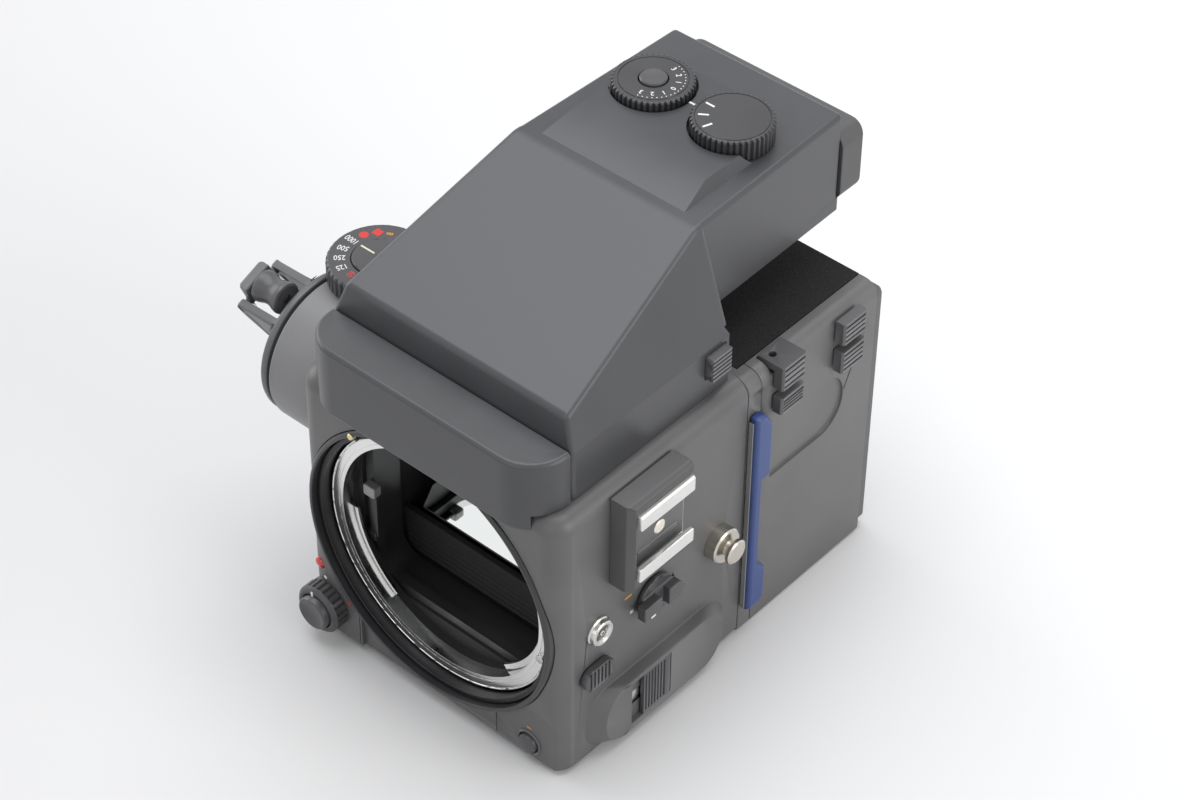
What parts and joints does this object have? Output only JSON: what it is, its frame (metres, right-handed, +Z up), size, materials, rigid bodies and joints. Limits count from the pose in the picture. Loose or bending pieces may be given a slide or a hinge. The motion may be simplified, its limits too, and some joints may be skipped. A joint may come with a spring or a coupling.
{
  "type": "medium format film camera",
  "caption": "Medium format single lens reflex film camera body with prism finder, side winding crank, accessory shoe and removable roll film magazine, shown without a lens.",
  "frame": {"origin": "mouth of the tripod socket, in the plane the camera stands on", "axes": "+X towards the accessory shoe side, -Y out of the lens mount, +Z up"},
  "size_m": [0.1268, 0.1336, 0.132],
  "materials": {
    "black_paint": "satin",
    "cast_alloy": "matt black",
    "base_black": "satin",
    "socket_steel": "bright",
    "hood_plastic": "satin",
    "surround_black": "gloss",
    "mount_chrome": "satin chrome",
    "baffle_black": "ribbed matt",
    "screen_plastic": "ground",
    "frame_black": "matt",
    "curtain_cloth": "rubberised",
    "shoe_plastic": "matt",
    "shoe_rail": "satin chrome",
    "contact_metal": "polished",
    "socket_chrome": "bright",
    "lug_metal": "polished",
    "cell_case": "bright",
    "lamp_red": "translucent",
    "housing_plastic": "satin",
    "dial_black": "satin",
    "coupling_metal": "black anodised",
    "pin_steel": "bright",
    "mirror_silver": "mirror",
    "drum_black": "matt",
    "door_plastic": "ribbed",
    "slide_black": "ribbed",
    "lever_black": "satin",
    "collar_black": "knurled",
    "button_black": "satin",
    "crank_disc_black": "satin",
    "crank_black": "satin",
    "knob_plastic": "satin",
    "finder_plastic": "fine grain",
    "plate_black": "satin",
    "prism_glass": "black painted",
    "eyepiece_plastic": "matt",
    "lens_glass": "coated",
    "top_dial_black": "satin",
    "release_plastic": "ribbed",
    "magazine_black": "satin",
    "leatherette": "grained",
    "insert_metal": "satin",
    "plate_metal": "black",
    "slide_steel": "plain",
    "handle_blue": "satin",
    "latch_black": "ribbed",
    "cover_black": "satin",
    "spool_plastic": "plain"
  },
  "bodies": {
    "camera": {"body_casing": "black_paint", "chassis": "cast_alloy", "mount_bulkhead": "cast_alloy", "base_plate": "base_black", "tripod_socket": "socket_steel", "front_hood": "hood_plastic", "mount_surround": "surround_black", "lens_mount_ring": "mount_chrome", "light_baffle": "baffle_black", "focusing_screen": "screen_plastic", "screen_frame": "frame_black", "shutter_curtain": "curtain_cloth", "shoe_block": "shoe_plastic", "shoe_rails": "shoe_rail", "shoe_contact": "contact_metal", "sync_socket": "socket_chrome", "strap_lugs": "lug_metal", "battery": "cell_case", "timer_lamp": "lamp_red", "winder_housing": "housing_plastic", "dial_cap": "dial_black"},
    "coupling": {"coupling_ring": "coupling_metal"},
    "lock_pin": {"lens_lock_pin": "pin_steel"},
    "mirror": {"mirror_frame": "frame_black", "mirror_glass": "mirror_silver"},
    "lower_roller": {"lower_drum": "drum_black"},
    "upper_roller": {"upper_drum": "drum_black"},
    "cell_door": {"battery_door": "door_plastic"},
    "lens_slide": {"lens_release": "slide_black"},
    "mirror_lock": {"mirror_lever": "lever_black"},
    "collar": {"release_collar": "collar_black"},
    "shutter_button": {"release_button": "button_black"},
    "battery_test": {"check_button": "button_black"},
    "shutter_dial": {"speed_dial": "dial_black"},
    "crank": {"crank_disc": "crank_disc_black"},
    "knob_hinge": {"knob_block": "crank_black"},
    "knob": {"crank_knob": "knob_plastic"},
    "finder": {"finder_base": "finder_plastic", "finder_shell": "finder_plastic", "dial_plate": "plate_black", "prism": "prism_glass", "eyepiece_block": "eyepiece_plastic", "eyepiece_lens": "lens_glass"},
    "exposure": {"exposure_dial": "top_dial_black"},
    "exposure_button": {"exposure_lock": "button_black"},
    "mode": {"mode_dial": "top_dial_black"},
    "finder_catch": {"finder_release": "release_plastic"},
    "magazine": {"magazine_shell": "magazine_black", "magazine_top_panel": "leatherette", "insert_frame": "insert_metal", "pressure_plate": "plate_metal"},
    "slide": {"dark_slide": "slide_steel", "slide_handle": "handle_blue"},
    "catch_a": {"front_latch_upper": "latch_black"},
    "catch_b": {"front_latch_lower": "latch_black"},
    "catch_c": {"rear_latch_upper": "latch_black"},
    "catch_d": {"rear_latch_lower": "latch_black"},
    "rear_door": {"back_cover": "cover_black"},
    "supply": {"supply_spool": "spool_plastic"},
    "takeup": {"takeup_spool": "spool_plastic"}
  },
  "joints": [
    {"name": "coupling_turn", "type": "hinge", "parent": "camera", "child": "coupling", "pos_m": [0, -0.031, 0.0435], "axis": [0, 1, 0], "range_deg": [-25, 30]},
    {"name": "lens_release_slide", "type": "slide", "parent": "camera", "child": "lens_slide", "axis": [0, 1, 0], "range_m": [0, 0.0035], "stiffness_N_per_m": 250},
    {"name": "lock_pin_slide", "type": "slide", "parent": "camera", "child": "lock_pin", "axis": [0, 1, 0], "range_m": [0, 0.00125]},
    {"name": "mirror_swing", "type": "hinge", "parent": "camera", "child": "mirror", "pos_m": [0, 0.0205, 0.0632], "axis": [1, 0, 0], "range_deg": [-45, 0]},
    {"name": "lower_drum_turn", "type": "hinge", "parent": "camera", "child": "lower_roller", "pos_m": [0, 0.0243, 0.0191], "axis": [1, 0, 0], "range_deg": [-360, 0]},
    {"name": "upper_drum_turn", "type": "hinge", "parent": "camera", "child": "upper_roller", "pos_m": [0, 0.0243, 0.0679], "axis": [1, 0, 0], "range_deg": [-360, 0]},
    {"name": "battery_door_slide", "type": "slide", "parent": "camera", "child": "cell_door", "axis": [0, -1, 0], "range_m": [0, 0.004]},
    {"name": "mirror_lock_turn", "type": "hinge", "parent": "camera", "child": "mirror_lock", "pos_m": [0.0417, -0.0016, 0.04], "axis": [1, 0, 0], "range_deg": [0, 45]},
    {"name": "collar_turn", "type": "hinge", "parent": "camera", "child": "collar", "pos_m": [-0.035, -0.035, 0.01], "axis": [0, 1, 0], "range_deg": [-45, 45]},
    {"name": "shutter_press", "type": "slide", "parent": "camera", "child": "shutter_button", "axis": [0, 1, 0], "range_m": [0, 0.0015], "stiffness_N_per_m": 400},
    {"name": "battery_test_press", "type": "slide", "parent": "camera", "child": "battery_test", "axis": [0, 1, 0], "range_m": [0, 0.001], "stiffness_N_per_m": 300},
    {"name": "speed_dial_turn", "type": "hinge", "parent": "camera", "child": "shutter_dial", "pos_m": [-0.0514, 0.0041, 0.083], "axis": [0, 0, 1], "range_deg": [-150, 150]},
    {"name": "crank_turn", "type": "hinge", "parent": "camera", "child": "crank", "pos_m": [-0.06, -0.0077, 0.0626], "axis": [1, 0, 0], "continuous": true},
    {"name": "knob_fold", "type": "hinge", "parent": "crank", "child": "knob_hinge", "pos_m": [-0.0754, -0.01344, 0.07624], "axis": [0, 0.9219, 0.3875], "range_deg": [-180, 0]},
    {"name": "knob_spin", "type": "hinge", "parent": "knob_hinge", "child": "knob", "pos_m": [-0.0654, -0.01433, 0.07836], "axis": [1, 0, 0], "continuous": true},
    {"name": "finder_lift", "type": "slide", "parent": "camera", "child": "finder", "axis": [0, 0, 1], "range_m": [0, 0.045]},
    {"name": "exposure_turn", "type": "hinge", "parent": "finder", "child": "exposure", "pos_m": [-0.0122, 0.059, 0.1264], "axis": [0, 0, 1], "range_deg": [-90, 90]},
    {"name": "exposure_lock_press", "type": "slide", "parent": "exposure", "child": "exposure_button", "axis": [0, 0, -1], "range_m": [0, 0.0006], "stiffness_N_per_m": 300},
    {"name": "mode_turn", "type": "hinge", "parent": "finder", "child": "mode", "pos_m": [0.0122, 0.059, 0.1264], "axis": [0, 0, 1], "range_deg": [-90, 90]},
    {"name": "finder_catch_press", "type": "slide", "parent": "finder", "child": "finder_catch", "axis": [-1, 0, 0], "range_m": [0, 0.0012], "stiffness_N_per_m": 300},
    {"name": "magazine_pull", "type": "slide", "parent": "camera", "child": "magazine", "axis": [0, 1, 0], "range_m": [0, 0.08]},
    {"name": "dark_slide_pull", "type": "slide", "parent": "magazine", "child": "slide", "axis": [1, 0, 0], "range_m": [0, 0.075]},
    {"name": "front_catch_upper_press", "type": "slide", "parent": "magazine", "child": "catch_a", "axis": [0, 0, -1], "range_m": [0, 0.001], "stiffness_N_per_m": 300},
    {"name": "front_catch_lower_press", "type": "slide", "parent": "magazine", "child": "catch_b", "axis": [0, 0, 1], "range_m": [0, 0.001], "stiffness_N_per_m": 300},
    {"name": "rear_catch_upper_press", "type": "slide", "parent": "magazine", "child": "catch_c", "axis": [0, 0, -1], "range_m": [0, 0.001], "stiffness_N_per_m": 300},
    {"name": "rear_catch_lower_press", "type": "slide", "parent": "magazine", "child": "catch_d", "axis": [0, 0, 1], "range_m": [0, 0.001], "stiffness_N_per_m": 300},
    {"name": "back_cover_swing", "type": "hinge", "parent": "magazine", "child": "rear_door", "pos_m": [-0.041, 0.0833, 0.04], "axis": [0, 0, 1], "range_deg": [0, 110]},
    {"name": "supply_spin", "type": "hinge", "parent": "magazine", "child": "supply", "pos_m": [0, 0.057, 0.023], "axis": [1, 0, 0], "continuous": true},
    {"name": "takeup_spin", "type": "hinge", "parent": "magazine", "child": "takeup", "pos_m": [0, 0.057, 0.064], "axis": [1, 0, 0], "continuous": true}
  ],
  "couplings": [
    {"joint": "lock_pin_slide", "follows": "lens_release_slide", "ratio": 0.3},
    {"joint": "upper_drum_turn", "follows": "lower_drum_turn", "ratio": 1},
    {"joint": "takeup_spin", "follows": "crank_turn", "ratio": -1}
  ]
}
